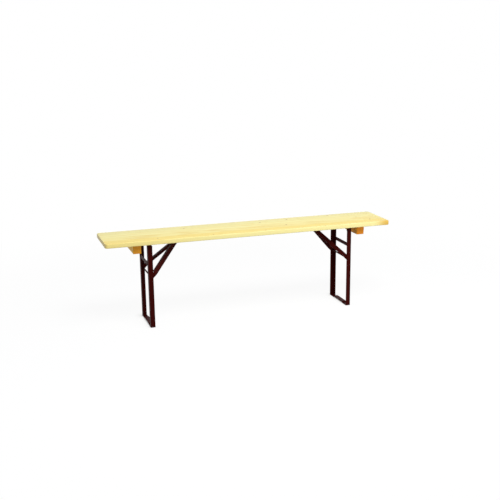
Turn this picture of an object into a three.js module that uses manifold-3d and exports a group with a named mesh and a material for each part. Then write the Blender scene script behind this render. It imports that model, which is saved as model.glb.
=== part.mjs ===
// A wooden folding bench: a pine seat board with two angle-iron leg frames that fold inwards under
// it, each held open by a V-shaped brace whose apex pin sits in a sheet-steel latch on the board.
// Millimetres, +Z up, the bench's length along X, its depth along Y. The origin is on the floor
// under the middle of the seat. The bench stands with both leg frames open.
import * as THREE from 'three';
import { mergeVertices } from 'three/addons/utils/BufferGeometryUtils.js';
import Module from 'manifold-3d';

// Seat board
const seatHeight = 480;
const boardLength = 1600;
const boardWidth = 280;
const boardThickness = 24;
const boardCornerRadius = 15;
const boardEdgeRounding = 3.5;

// Cross battens under the board, just outside the leg frames
const battenGap = 34;
const battenWidth = 42;
const battenHeight = 46;
const battenSideInset = 20;
const battenEndBevel = 6;
const battenEdgeRounding = 1.5;

// Leg frames of steel angle
const legInset = 223;
const frameWidth = 230;
const angleWidth = 25;
const angleThickness = 3;
const crossBarDrop = 85;
const crossBarWidth = 20;
const footPadLength = 50;
const footRampLength = 8;
const footBarRise = 7;
const footHoleRadius = 3.5;
const footHoleInset = 15;

// V-shaped brace on a round rod, both of which lock in the latch
const rodDrop = 166;
const rodRadius = 4;
const armWidth = 22;
const armFootLength = 30;
const armHeadLength = 20;
const armHeadRadius = 9;
const apexGap = 29;
const headHeight = 2.5;
const rodHeadRadius = 6.5;
const apexHeadRadius = 5.5;

// Hinge bracket, a strip with an ear bent down at each end, and its rivets
const bracketWidth = 25;
const rivetRadius = 4;
const rivetHeadRadius = 7;

// Latch of pressed sheet steel with a sliding bolt
const latchPlateLength = 90;
const latchPlateWidth = 48;
const latchPlateThickness = 2;
const latchPlateCornerRadius = 6;
const latchTongueLength = 26;
const latchTongueWidth = 9;
const latchTongueCornerRadius = 3;
const lobeLength = 22;
const lobeWidth = 40;
const lobeHeight = 6;
const lobeRounding = 3.5;
const outerLobeOffset = 7;
const innerLobeOffset = 8;
const cheekThickness = 1.5;
const cheekHalfGap = 3;
const hookDepth = 15;
const hookLength = 26;
const hookChamfer = 6;
const hookLeadIn = 2.3;
const guardLength = 30;
const guardDrop = 5;
const guardChamfer = 6;
const boltHeight = 6.6;
const boltLength = 37;
const boltTravel = 10;
const boltTipSetback = 7;
const boltGuideRadius = 2;
const boltGuideHeadRadius = 3.2;
const boltGuideHeadHeight = 1.2;
const boltGuideInset = 14;
const thumbTabWidth = 20;
const thumbTabHeight = 13;
const thumbTabThickness = 3;

// Screws
const screwRadius = 2.2;
const screwHeadRadius = 4.5;
const screwHeadHeight = 2.4;
const screwBite = 15;
const bracketScrewSpacing = 70;
const bracketScrewOffset = 3;
const battenScrewSpacing = 160;
const latchScrewInset = 6;

// Clearances: faces that seat on each other, fixed pins, turning pins, the pin in the latch
const seatGap = 0.3;
const fixedPlay = 0.15;
const turningPlay = 0.1;
const armSideGap = 1;
const armEndGap = 1.5;
const earGap = 0.5;
const latchPlay = 1.2;
const boltPlay = 0.6;
const foldClearance = 4;
const cutOverrun = 5;

// Facets
const pinSegments = 16;
const screwSegments = 12;
const cornerSegments = 5;
const easeSegments = 2;

// Places worked out from the sizes above, on the right-hand half of the bench
const boardUnderside = seatHeight - boardThickness;
const frameOuterX = boardLength / 2 - legInset;
const frameHalfWidth = frameWidth / 2;
const railInnerY = frameHalfWidth - angleThickness;
const flangeEdgeY = frameHalfWidth - angleWidth;
const armReach = armWidth / 2;
const pivotInset = angleThickness + armSideGap + armReach;
const hingeX = frameOuterX - pivotInset;
const railInnerReach = angleWidth - pivotInset;
const hingeDrop = Math.max(armReach, railInnerReach) + foldClearance;
const hingeZ = boardUnderside - hingeDrop;
const rodZ = hingeZ - rodDrop;
const pocketX = hingeX - rodDrop;
const pocketZ = hingeZ;
const armFootY = railInnerY - armEndGap - angleThickness;
const armHeadY = apexGap / 2;
const braceReach = Math.hypot(rodDrop, rodDrop);
const armSlant = Math.atan2(armFootY - armHeadY, braceReach - armFootLength - armHeadLength);
const cheekOuterY = cheekHalfGap + cheekThickness;
const fastenedZ = boardUnderside - seatGap;
const battenInnerX = frameOuterX + battenGap;
const battenMiddleX = battenInnerX + battenWidth / 2;
const battenBottomZ = fastenedZ - battenHeight;
const earRadius = armReach + armSideGap - earGap;
const bracketInnerX = hingeX + earRadius - bracketWidth;
const bracketScrewX = bracketInnerX + bracketWidth / 2 + bracketScrewOffset;
const bracketBottomZ = fastenedZ - angleThickness;
const latchPlateBottomZ = fastenedZ - latchPlateThickness;

const wasm = await Module();
wasm.setup();

// Materials

const pine = (name) => new THREE.MeshStandardMaterial({ name, color: 0xf2d98c, roughness: 0.55, metalness: 0 });
const paintedSteel = (name) =>
  new THREE.MeshStandardMaterial({ name, color: 0x3a0c0d, roughness: 0.4, metalness: 0.2 });
const zincSteel = (name) =>
  new THREE.MeshStandardMaterial({ name, color: 0xc9cfd6, roughness: 0.25, metalness: 1 });

// Solids and booleans

function merged(geometry) {
  const bare = geometry.clone();
  bare.deleteAttribute('normal');
  bare.deleteAttribute('uv');
  return mergeVertices(bare);
}

function solid(geometry) {
  const shared = merged(geometry);
  return new wasm.Manifold(new wasm.Mesh({
    numProp: 3,
    vertProperties: Float32Array.from(shared.attributes.position.array),
    triVerts: Uint32Array.from(shared.index.array),
  }));
}

function surface(body) {
  const { vertProperties, triVerts } = body.getMesh();
  const geometry = new THREE.BufferGeometry();
  geometry.setAttribute('position', new THREE.BufferAttribute(vertProperties, 3));
  geometry.setIndex(new THREE.BufferAttribute(triVerts, 1));
  return geometry;
}

function join(...geometries) {
  return surface(geometries.map(solid).reduce((whole, piece) => whole.add(piece)));
}

function cut(geometry, ...tools) {
  return surface(tools.map(solid).reduce((whole, tool) => whole.subtract(tool), solid(geometry)));
}

function common(first, second) {
  return surface(solid(first).intersect(solid(second)));
}

// A copy of a geometry on the right-hand, back quarter of the bench, mirrored to the side and the
// half that the two signs name. Each mirroring turns the faces round, so they are turned back.
function mirrored(geometry, sideSign, depthSign = 1) {
  const copy = merged(geometry).applyMatrix4(new THREE.Matrix4().makeScale(sideSign, depthSign, 1));
  if (sideSign * depthSign < 0) {
    const order = copy.index.array;
    for (let corner = 0; corner < order.length; corner += 3) {
      [order[corner], order[corner + 1]] = [order[corner + 1], order[corner]];
    }
  }
  return copy;
}

// Basic forms, each between two planes

const polygon = (points) => new THREE.Shape(points.map(([x, y]) => new THREE.Vector2(x, y)));

function slabAlongZ(shape, bottom, top) {
  const options = { depth: top - bottom, bevelEnabled: false, curveSegments: cornerSegments };
  return new THREE.ExtrudeGeometry(shape, options).translate(0, 0, bottom);
}

// The shape's own axes become X and Z
function slabAlongY(shape, near, far) {
  const options = { depth: far - near, bevelEnabled: false, curveSegments: cornerSegments };
  return new THREE.ExtrudeGeometry(shape, options).rotateX(Math.PI / 2).translate(0, far, 0);
}

// The shape's own axes become Y and Z
function slabAlongX(shape, from, to, rounding = 0) {
  const geometry = new THREE.ExtrudeGeometry(shape, {
    depth: to - from - rounding * 2,
    bevelEnabled: rounding > 0,
    bevelSize: rounding,
    bevelThickness: rounding,
    bevelOffset: -rounding,
    bevelSegments: easeSegments,
    curveSegments: cornerSegments,
  });
  const axes = new THREE.Matrix4().makeBasis(
    new THREE.Vector3(0, 1, 0), new THREE.Vector3(0, 0, 1), new THREE.Vector3(1, 0, 0));
  return geometry.applyMatrix4(axes).translate(from + rounding, 0, 0);
}

function box(fromX, toX, fromY, toY, fromZ, toZ) {
  return new THREE.BoxGeometry(toX - fromX, toY - fromY, toZ - fromZ)
    .translate((fromX + toX) / 2, (fromY + toY) / 2, (fromZ + toZ) / 2);
}

// Cutting tools for round holes, whose flats stand at the hole's radius
function holeAlongY(radius, near, far, x, z) {
  const cornerRadius = radius / Math.cos(Math.PI / pinSegments);
  return new THREE.CylinderGeometry(cornerRadius, cornerRadius, far - near, pinSegments)
    .translate(x, (near + far) / 2, z);
}

function holeAlongZ(radius, bottom, top, x, y) {
  const cornerRadius = radius / Math.cos(Math.PI / screwSegments);
  return new THREE.CylinderGeometry(cornerRadius, cornerRadius, top - bottom, screwSegments)
    .rotateX(Math.PI / 2).translate(x, y, (bottom + top) / 2);
}

function roundedRectangle(length, width, radius) {
  const endX = length / 2 - radius;
  const endY = width / 2 - radius;
  const shape = new THREE.Shape();
  shape.absarc(endX, endY, radius, 0, Math.PI / 2);
  shape.absarc(-endX, endY, radius, Math.PI / 2, Math.PI);
  shape.absarc(-endX, -endY, radius, Math.PI, Math.PI * 1.5);
  shape.absarc(endX, -endY, radius, Math.PI * 1.5, Math.PI * 2);
  return shape;
}

// A pin along Y with a flattened head outside each of two faces
function headedPin(radius, headRadius, height, near, far, x, z) {
  const headEase = height / 3;
  const profile = [
    [0, near - height],
    [headRadius - headEase, near - height],
    [headRadius, near - height + headEase],
    [headRadius, near],
    [radius, near],
    [radius, far],
    [headRadius, far],
    [headRadius, far + height - headEase],
    [headRadius - headEase, far + height],
    [0, far + height],
  ].map(([reach, along]) => new THREE.Vector2(reach, along));
  return new THREE.LatheGeometry(profile, pinSegments).translate(x, 0, z);
}

// A pan-head screw driven upwards, its head seated under the face at headZ
function screw(x, y, headZ, tipZ) {
  const underHeadZ = headZ - seatGap;
  const headEase = screwHeadHeight / 3;
  const profile = [
    [0, underHeadZ - screwHeadHeight],
    [screwHeadRadius - headEase * 2, underHeadZ - screwHeadHeight],
    [screwHeadRadius, underHeadZ - headEase],
    [screwHeadRadius, underHeadZ],
    [screwRadius, underHeadZ],
    [screwRadius, tipZ - screwRadius],
    [0, tipZ],
  ].map(([reach, along]) => new THREE.Vector2(reach, along));
  return new THREE.LatheGeometry(profile, screwSegments).rotateX(Math.PI / 2).translate(x, y, 0);
}

const screwHole = (x, y, bottom, top) => holeAlongZ(screwRadius + fixedPlay, bottom, top, x, y);

// Screw places, as [x, y] on the right-hand half

const bracketScrewPlaces = [-bracketScrewSpacing, 0, bracketScrewSpacing].map((y) => [bracketScrewX, y]);
const battenScrewPlaces = [-battenScrewSpacing / 2, battenScrewSpacing / 2].map((y) => [battenMiddleX, y]);
const latchScrewReach = latchPlateLength / 2 - latchScrewInset;
const latchScrewPlaces = [-latchScrewReach, latchScrewReach].map((reach) => [pocketX + reach, 0]);
const screwTipZ = boardUnderside + screwBite;

// Seat board with its pilot holes

function seatBoard() {
  const outline = roundedRectangle(boardLength, boardWidth, boardCornerRadius);
  const blank = new THREE.ExtrudeGeometry(outline, {
    depth: boardThickness - boardEdgeRounding * 2,
    bevelEnabled: true,
    bevelSize: boardEdgeRounding,
    bevelThickness: boardEdgeRounding,
    bevelOffset: -boardEdgeRounding,
    bevelSegments: easeSegments,
    curveSegments: cornerSegments,
  }).translate(0, 0, boardUnderside + boardEdgeRounding);
  const places = [...bracketScrewPlaces, ...battenScrewPlaces, ...latchScrewPlaces];
  const holes = [-1, 1].flatMap((sideSign) => places.map(([x, y]) =>
    screwHole(sideSign * x, y, boardUnderside - cutOverrun, screwTipZ + seatGap)));
  return cut(blank, ...holes);
}

function batten() {
  const topHalf = boardWidth / 2 - battenSideInset;
  const bottomHalf = topHalf - battenEndBevel;
  const outline = polygon([
    [-topHalf, fastenedZ],
    [-bottomHalf, battenBottomZ],
    [bottomHalf, battenBottomZ],
    [topHalf, fastenedZ],
  ]);
  const bar = slabAlongX(outline, battenInnerX, battenInnerX + battenWidth, battenEdgeRounding);
  const holes = battenScrewPlaces.map(([x, y]) =>
    screwHole(x, y, battenBottomZ - cutOverrun, boardUnderside + cutOverrun));
  return cut(bar, ...holes);
}

// Leg frame: two angle-iron rails, a cranked foot strip and a flat cross bar, welded together

function rail() {
  const footZ = angleThickness + seatGap;
  const innerX = hingeX - railInnerReach;
  const topZ = hingeZ + railInnerReach;
  const side = new THREE.Shape();
  side.moveTo(innerX, footZ);
  side.lineTo(frameOuterX, footZ);
  side.lineTo(frameOuterX, topZ);
  side.lineTo(hingeX, topZ);
  side.absarc(hingeX, hingeZ, railInnerReach, Math.PI / 2, Math.PI);
  const bare = join(
    slabAlongY(side, railInnerY, frameHalfWidth),
    box(frameOuterX - angleThickness, frameOuterX, flangeEdgeY, frameHalfWidth, footZ, topZ));
  const holeSpan = [railInnerY - cutOverrun, frameHalfWidth + cutOverrun];
  return cut(bare,
    holeAlongY(rivetRadius + turningPlay, ...holeSpan, hingeX, hingeZ),
    holeAlongY(rodRadius + fixedPlay, ...holeSpan, hingeX, rodZ));
}

// The cranked line of the foot bar across the bench, a given height above its underside
function footLine(height) {
  const padEnd = frameHalfWidth - footPadLength;
  const rampEnd = padEnd - footRampLength;
  return [
    [-frameHalfWidth, height],
    [-padEnd, height],
    [-rampEnd, height + footBarRise],
    [rampEnd, height + footBarRise],
    [padEnd, height],
    [frameHalfWidth, height],
  ];
}

function footBar() {
  const innerX = frameOuterX - angleWidth;
  const section = polygon([...footLine(0), ...footLine(angleThickness).reverse()]);
  const strip = slabAlongX(section, innerX, frameOuterX);
  const holes = [-1, 1].map((depthSign) => holeAlongZ(footHoleRadius,
    -cutOverrun, angleThickness + cutOverrun,
    (innerX + frameOuterX) / 2, depthSign * (frameHalfWidth - footHoleInset)));
  return cut(strip, ...holes);
}

function crossBar() {
  const halfSpan = flangeEdgeY - seatGap;
  const topZ = hingeZ - crossBarDrop;
  return box(frameOuterX - angleThickness, frameOuterX, -halfSpan, halfSpan, topZ - crossBarWidth, topZ);
}

function braceRod() {
  const reach = frameHalfWidth + seatGap;
  return headedPin(rodRadius, rodHeadRadius, headHeight, -reach, reach, hingeX, rodZ);
}

// Brace arm of small angle. Its web carries both pivot holes. It is bent to lie flat beside the rail at
// the rod and square to the pin at the apex, where it narrows to pass the latch. The flange lies between
// the bends, along the side that faces the corner of board and leg. In the arm's own axes x runs from
// the rod to the apex, y towards that corner, and z sideways.
function braceArm() {
  const footOuterY = armFootY + angleThickness;
  const headOuterY = armHeadY + angleThickness;
  const headBendX = braceReach - armHeadLength;
  const bendShift = angleThickness * Math.tan(armSlant / 2);

  const face = new THREE.Shape();
  face.moveTo(0, -armReach);
  face.lineTo(headBendX + bendShift, -armReach);
  face.lineTo(braceReach, -armHeadRadius);
  face.absarc(braceReach, 0, armHeadRadius, -Math.PI / 2, Math.PI / 2);
  face.lineTo(headBendX + bendShift, armReach);
  face.lineTo(0, armReach);
  face.absarc(0, 0, armReach, Math.PI / 2, Math.PI * 1.5);

  const beyondRod = -armReach - cutOverrun;
  const beyondApex = braceReach + armHeadRadius + cutOverrun;
  const bentStrip = polygon([
    [beyondRod, armFootY],
    [armFootLength, armFootY],
    [headBendX, armHeadY],
    [beyondApex, armHeadY],
    [beyondApex, headOuterY],
    [headBendX + bendShift, headOuterY],
    [armFootLength + bendShift, footOuterY],
    [beyondRod, footOuterY],
  ]);
  const web = common(
    slabAlongY(bentStrip, -armReach - cutOverrun, armReach + cutOverrun),
    slabAlongZ(face, armHeadY - cutOverrun, footOuterY + cutOverrun));

  const flangeDepth = (armWidth - angleThickness) / Math.cos(armSlant);
  const flangeTrimX = armFootLength + (armFootY - flangeDepth - armHeadY) / Math.tan(armSlant);
  const flangeFace = polygon([
    [armFootLength, armFootY - flangeDepth],
    [flangeTrimX, armHeadY],
    [headBendX, armHeadY],
    [headBendX + bendShift, headOuterY],
    [armFootLength + bendShift, footOuterY],
    [armFootLength, armFootY],
  ]);
  const flange = slabAlongY(flangeFace, armReach - angleThickness, armReach);

  const along = new THREE.Vector3(-rodDrop, 0, rodDrop).normalize();
  const across = new THREE.Vector3(rodDrop, 0, rodDrop).normalize();
  const sideways = along.clone().cross(across);
  const pose = new THREE.Matrix4().makeBasis(along, across, sideways).setPosition(hingeX, 0, rodZ);
  const bareArm = join(web, flange).applyMatrix4(pose);

  const holeSpan = [armHeadY - cutOverrun, footOuterY + cutOverrun];
  return cut(bareArm,
    holeAlongY(rodRadius + turningPlay, ...holeSpan, hingeX, rodZ),
    holeAlongY(rodRadius + turningPlay, ...holeSpan, pocketX, pocketZ));
}

function apexPin() {
  const reach = armHeadY + angleThickness + seatGap;
  return headedPin(rodRadius, apexHeadRadius, headHeight, -reach, reach, pocketX, pocketZ);
}

// Hinge bracket: a strip under the board with an ear at each end inside the rails

function hingeBracket() {
  const earOuterY = railInnerY - earGap;
  const earInnerY = earOuterY - angleThickness;
  const ear = new THREE.Shape();
  ear.moveTo(hingeX - earRadius, fastenedZ);
  ear.absarc(hingeX, hingeZ, earRadius, Math.PI, Math.PI * 2);
  ear.lineTo(hingeX + earRadius, fastenedZ);
  const strip = box(bracketInnerX, bracketInnerX + bracketWidth, -earOuterY, earOuterY,
    bracketBottomZ, fastenedZ);
  const bracket = join(strip,
    slabAlongY(ear, earInnerY, earOuterY),
    slabAlongY(ear, -earOuterY, -earInnerY));
  const screwHoles = bracketScrewPlaces.map(([x, y]) =>
    screwHole(x, y, bracketBottomZ - cutOverrun, fastenedZ + cutOverrun));
  return cut(bracket, ...screwHoles,
    holeAlongY(rivetRadius + fixedPlay, -earOuterY - cutOverrun, earOuterY + cutOverrun, hingeX, hingeZ));
}

function hingeRivet() {
  const innerHeadY = railInnerY - earGap - angleThickness - seatGap;
  const outerHeadY = frameHalfWidth + seatGap;
  return headedPin(rivetRadius, rivetHeadRadius, headHeight, innerHeadY, outerHeadY, hingeX, hingeZ);
}

// Latch: a plate with a tongue towards the middle of the bench, two embossed lobes and, between
// them, a pair of cheeks. Their hook stands on the leg's side of the pocket, and their guard covers
// it on the other side, clear of the way in.

function lobe(middleX) {
  const outline = roundedRectangle(lobeLength, lobeWidth, latchPlateCornerRadius);
  const emboss = new THREE.ExtrudeGeometry(outline, {
    depth: lobeHeight + latchPlateThickness - lobeRounding * 2,
    bevelEnabled: true,
    bevelSize: lobeRounding,
    bevelThickness: lobeRounding,
    bevelOffset: -lobeRounding,
    bevelSegments: easeSegments,
    curveSegments: cornerSegments,
  });
  return emboss.translate(middleX, 0, latchPlateBottomZ - lobeHeight + lobeRounding);
}

function cheekOutline() {
  const pocketRadius = rodRadius + latchPlay;
  const hookX = pocketX + pocketRadius;
  const hookEndX = pocketX + hookLength;
  const hookBottomZ = pocketZ - hookDepth;
  const guardEndX = pocketX - guardLength;
  const outline = new THREE.Shape();
  outline.moveTo(hookEndX, latchPlateBottomZ);
  outline.lineTo(hookEndX, hookBottomZ + hookChamfer);
  outline.lineTo(hookEndX - hookChamfer, hookBottomZ);
  outline.lineTo(hookX + hookLeadIn, hookBottomZ);
  outline.lineTo(hookX, hookBottomZ + hookChamfer);
  outline.absarc(pocketX, pocketZ, pocketRadius, 0, Math.PI / 2);
  outline.lineTo(guardEndX + guardChamfer, pocketZ + pocketRadius - guardDrop);
  outline.lineTo(guardEndX, pocketZ + pocketRadius - guardDrop + guardChamfer);
  outline.lineTo(guardEndX, latchPlateBottomZ);
  return outline;
}

const boltTopZ = pocketZ - rodRadius - latchPlay;
const boltMiddleZ = boltTopZ - boltHeight / 2;
const boltTipX = pocketX + boltTipSetback;
const boltGuideX = pocketX + boltGuideInset;

function latchBase() {
  const plate = slabAlongZ(roundedRectangle(latchPlateLength, latchPlateWidth, latchPlateCornerRadius),
    latchPlateBottomZ, fastenedZ).translate(pocketX, 0, 0);
  const outline = cheekOutline();
  const tongue = roundedRectangle(latchTongueLength * 2, latchTongueWidth, latchTongueCornerRadius);
  const pressing = join(plate,
    slabAlongZ(tongue, latchPlateBottomZ, fastenedZ).translate(pocketX - latchPlateLength / 2, 0, 0),
    lobe(pocketX + outerLobeOffset + lobeLength / 2),
    lobe(pocketX - innerLobeOffset - lobeLength / 2),
    slabAlongY(outline, cheekHalfGap, cheekOuterY),
    slabAlongY(outline, -cheekOuterY, -cheekHalfGap));
  const screwHoles = latchScrewPlaces.map(([x, y]) =>
    screwHole(x, y, latchPlateBottomZ - cutOverrun, fastenedZ + cutOverrun));
  return cut(pressing, ...screwHoles,
    holeAlongY(boltGuideRadius + fixedPlay, -cheekOuterY - cutOverrun, cheekOuterY + cutOverrun,
      boltGuideX, boltMiddleZ));
}

// Sliding bolt between the cheeks, drawn back here: pushed home, its tip closes the pocket
function latchBolt() {
  const halfThickness = cheekHalfGap - boltPlay;
  const endX = boltTipX + boltLength;
  const slotRadius = boltGuideRadius + fixedPlay;
  const slot = new THREE.Shape();
  slot.absarc(boltGuideX, boltMiddleZ, slotRadius, Math.PI / 2, Math.PI * 1.5);
  slot.absarc(boltGuideX + boltTravel, boltMiddleZ, slotRadius, -Math.PI / 2, Math.PI / 2);
  const bar = box(boltTipX, endX, -halfThickness, halfThickness, boltTopZ - boltHeight, boltTopZ);
  const tab = box(endX - thumbTabThickness, endX, -thumbTabWidth / 2, thumbTabWidth / 2,
    boltTopZ - thumbTabHeight, boltTopZ);
  return cut(join(bar, tab), slabAlongY(slot, -halfThickness - cutOverrun, halfThickness + cutOverrun));
}

function boltGuide() {
  const reach = cheekOuterY + seatGap;
  return headedPin(boltGuideRadius, boltGuideHeadRadius, boltGuideHeadHeight, -reach, reach,
    boltGuideX, boltMiddleZ);
}

// The whole bench

const bench = new THREE.Group();
bench.name = 'folding_bench';

function add(name, geometry, material) {
  geometry.computeVertexNormals();
  const mesh = new THREE.Mesh(geometry, material(name));
  mesh.name = name;
  bench.add(mesh);
}

add('seat_board', seatBoard(), pine);

for (const [side, sideSign] of [['left', -1], ['right', 1]]) {
  const addHere = (name, geometry, material, depthSign) =>
    add(`${side}_${name}`, mirrored(geometry, sideSign, depthSign), material);

  addHere('batten', batten(), pine);
  battenScrewPlaces.forEach(([x, y], index) =>
    addHere(`batten_screw_${index + 1}`, screw(x, y, battenBottomZ, screwTipZ), zincSteel));

  addHere('hinge_bracket', hingeBracket(), paintedSteel);
  bracketScrewPlaces.forEach(([x, y], index) =>
    addHere(`bracket_screw_${index + 1}`, screw(x, y, bracketBottomZ, screwTipZ), zincSteel));

  addHere('foot_bar', footBar(), paintedSteel);
  addHere('cross_bar', crossBar(), paintedSteel);
  addHere('brace_rod', braceRod(), paintedSteel);
  addHere('apex_pin', apexPin(), paintedSteel);
  for (const [half, depthSign] of [['front', -1], ['back', 1]]) {
    addHere(`${half}_rail`, rail(), paintedSteel, depthSign);
    addHere(`${half}_hinge_rivet`, hingeRivet(), paintedSteel, depthSign);
    addHere(`brace_${half}_arm`, braceArm(), paintedSteel, depthSign);
  }

  addHere('latch_base', latchBase(), zincSteel);
  latchScrewPlaces.forEach(([x, y], index) =>
    addHere(`latch_screw_${index + 1}`, screw(x, y, latchPlateBottomZ, screwTipZ), zincSteel));
  addHere('latch_bolt', latchBolt(), zincSteel);
  addHere('bolt_guide', boltGuide(), zincSteel);
}

export default bench;
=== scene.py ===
"""Finishes a folding bench: varnished pine on painted steel angle, with zinc-plated latches.

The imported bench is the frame, in metres, with its length along X and its top at 0.48. The steel
angle keeps its own solids and gets eased edges. Everything rounded, pressed or turned is a new
surface in the same place.
"""

import bmesh
import bpy
import numpy as np
from bpy.props import FloatProperty, FloatVectorProperty, PointerProperty
from mathutils import Euler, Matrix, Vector


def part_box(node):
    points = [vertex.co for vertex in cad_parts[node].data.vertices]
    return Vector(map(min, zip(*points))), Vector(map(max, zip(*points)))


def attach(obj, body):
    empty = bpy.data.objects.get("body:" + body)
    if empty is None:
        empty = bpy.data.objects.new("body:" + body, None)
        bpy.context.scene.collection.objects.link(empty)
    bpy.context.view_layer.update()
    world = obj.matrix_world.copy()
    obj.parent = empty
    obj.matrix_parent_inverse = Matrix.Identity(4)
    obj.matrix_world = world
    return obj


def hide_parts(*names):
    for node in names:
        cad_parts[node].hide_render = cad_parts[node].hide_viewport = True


bl_info = {
    "name": "Folding Bench Finish",
    "version": (1, 0, 0),
    "blender": (4, 5, 0),
    "location": "3D View > Sidebar > Bench",
    "description": "Dresses a folding bench in pine, painted steel and zinc plate",
    "category": "Object",
}

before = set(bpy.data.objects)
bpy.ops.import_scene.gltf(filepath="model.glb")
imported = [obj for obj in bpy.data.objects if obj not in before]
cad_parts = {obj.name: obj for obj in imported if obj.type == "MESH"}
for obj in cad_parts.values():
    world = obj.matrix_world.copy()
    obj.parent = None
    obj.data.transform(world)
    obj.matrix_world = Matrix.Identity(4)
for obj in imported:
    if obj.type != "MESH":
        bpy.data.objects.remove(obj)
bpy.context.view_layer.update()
board_low, board_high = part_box("seat_board")
latch_low, latch_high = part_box("right_latch_base")

SIDES = {"left": -1, "right": 1}
HALVES = {"front": -1, "back": 1}


def linear(hex_code):
    """An sRGB hex value as linear red, green, blue and alpha."""
    channels = np.array([int(hex_code[at:at + 2], 16) for at in (1, 3, 5)]) / 255
    low = channels / 12.92
    high = ((channels + 0.055) / 1.055) ** 2.4
    return (*np.where(channels <= 0.04045, low, high), 1.0)


def length(name, description, default):
    """A length in metres that a user can change."""
    return FloatProperty(
        name=name, description=description, default=default, precision=4, unit="LENGTH")


def lengths(name, description, default):
    """Three lengths in metres, along X, Y and Z, that a user can change."""
    return FloatVectorProperty(
        name=name, description=description, default=default, size=3, subtype="TRANSLATION",
        precision=6, unit="LENGTH")


def colour(name, description, hex_code):
    """A colour that a user can change."""
    return FloatVectorProperty(
        name=name, description=description, default=linear(hex_code), size=4, subtype="COLOR",
        min=0, max=1)


# Sizes and colours

class SeatSizes(bpy.types.PropertyGroup):
    """Sizes of the seat board and its battens."""

    corner: length("Corner radius", "Radius of the board's four corners in plan", 0.015)
    board_edge: length("Board edge", "Radius of the board's eased edges", 0.0035)
    batten_bevel: length("Batten bevel", "How far each batten end slopes back", 0.006)
    batten_edge: length("Batten edge", "Radius of the battens' eased edges", 0.0018)


class PineFigure(bpy.types.PropertyGroup):
    """Sizes of the figure in the pine."""

    strip: length("Strip width", "Width of each glued pine strip", 0.070)
    ring: length("Growth ring", "Distance from one growth ring to the next", 0.0042)
    wave: lengths("Wave", "Length, width and depth of the slow waves in the trunk",
                  (0.666667, 0.0833333, 0.0833333))
    sway: length("Sway", "How far the slow waves bend the rings", 0.014)
    fibre: lengths("Fibre", "Length, width and depth of the fibres",
                   (0.0625, 0.000555556, 0.000555556))
    sapwood_start: length("Sapwood start", "From the bark side to its first gold", 0.001)
    sapwood_end: length("Sapwood end", "From the bark side to its full gold", 0.014)
    knot_spacing: length("Knot spacing", "Usual distance between knots", 0.15)
    small_knot: length("Small knot", "Radius of the smallest knots", 0.0026)
    large_knot: length("Large knot", "Radius of the largest knots", 0.0050)
    knot_notch: length("Knot notch", "Distance between the notches in a knot's outline", 0.00625)
    flow_length: length("Flow length", "Reach along the grain of its flow round a knot", 0.060)
    flow_width: length("Flow width", "Reach across the grain of its flow round a knot", 0.015)
    flow_lift: length("Flow lift", "How far a knot lifts the rings beside it", 0.0055)
    # Middle and reach of the golden patches, which fade out from there.
    golden_patch: lengths("Resin", "Middle of the board's patch of resin", (0.785, -0.140, 0.0))
    batten_golden_patch: lengths("Batten resin", "Middle of the battens' patch of resin",
                          (0.620, 0.090, 0.0))
    golden_patch_length: length("Resin length", "Reach of a resin patch along the bench", 0.075)
    golden_patch_width: length("Resin width", "Reach of a resin patch across the bench", 0.030)


class SteelSizes(bpy.types.PropertyGroup):
    """Sizes of the steel angle's details."""

    angle: length("Steel thickness", "Thickness of the steel angle and strip", 0.003)
    edge: length("Edge radius", "Radius of the rolled steel's edges", 0.0007)
    weld: length("Weld radius", "Radius of the weld beads", 0.0019)
    weld_pitch: length("Weld ripple", "Distance between the ripples of a weld bead", 0.0022)
    pin: length("Pin radius", "Radius of the rods, apex pins and rivets", 0.004)
    pin_head: length("Pin head", "Height of their domed heads", 0.0025)
    paint_cloud: length("Paint cloud", "Width of the clouds in the paint's tone", 0.0222222)
    rolling_mark: length("Rolling mark", "Width of the marks left by hot rolling", 0.00833333)
    orange_peel: length("Orange peel", "Width of the dimples in the sprayed paint", 0.00153846)
    # This reach also sets the painted edge highlight.
    worn_and_highlit_edge: length("Worn edge", "How far from an edge the paint is thin", 0.0014)


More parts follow.
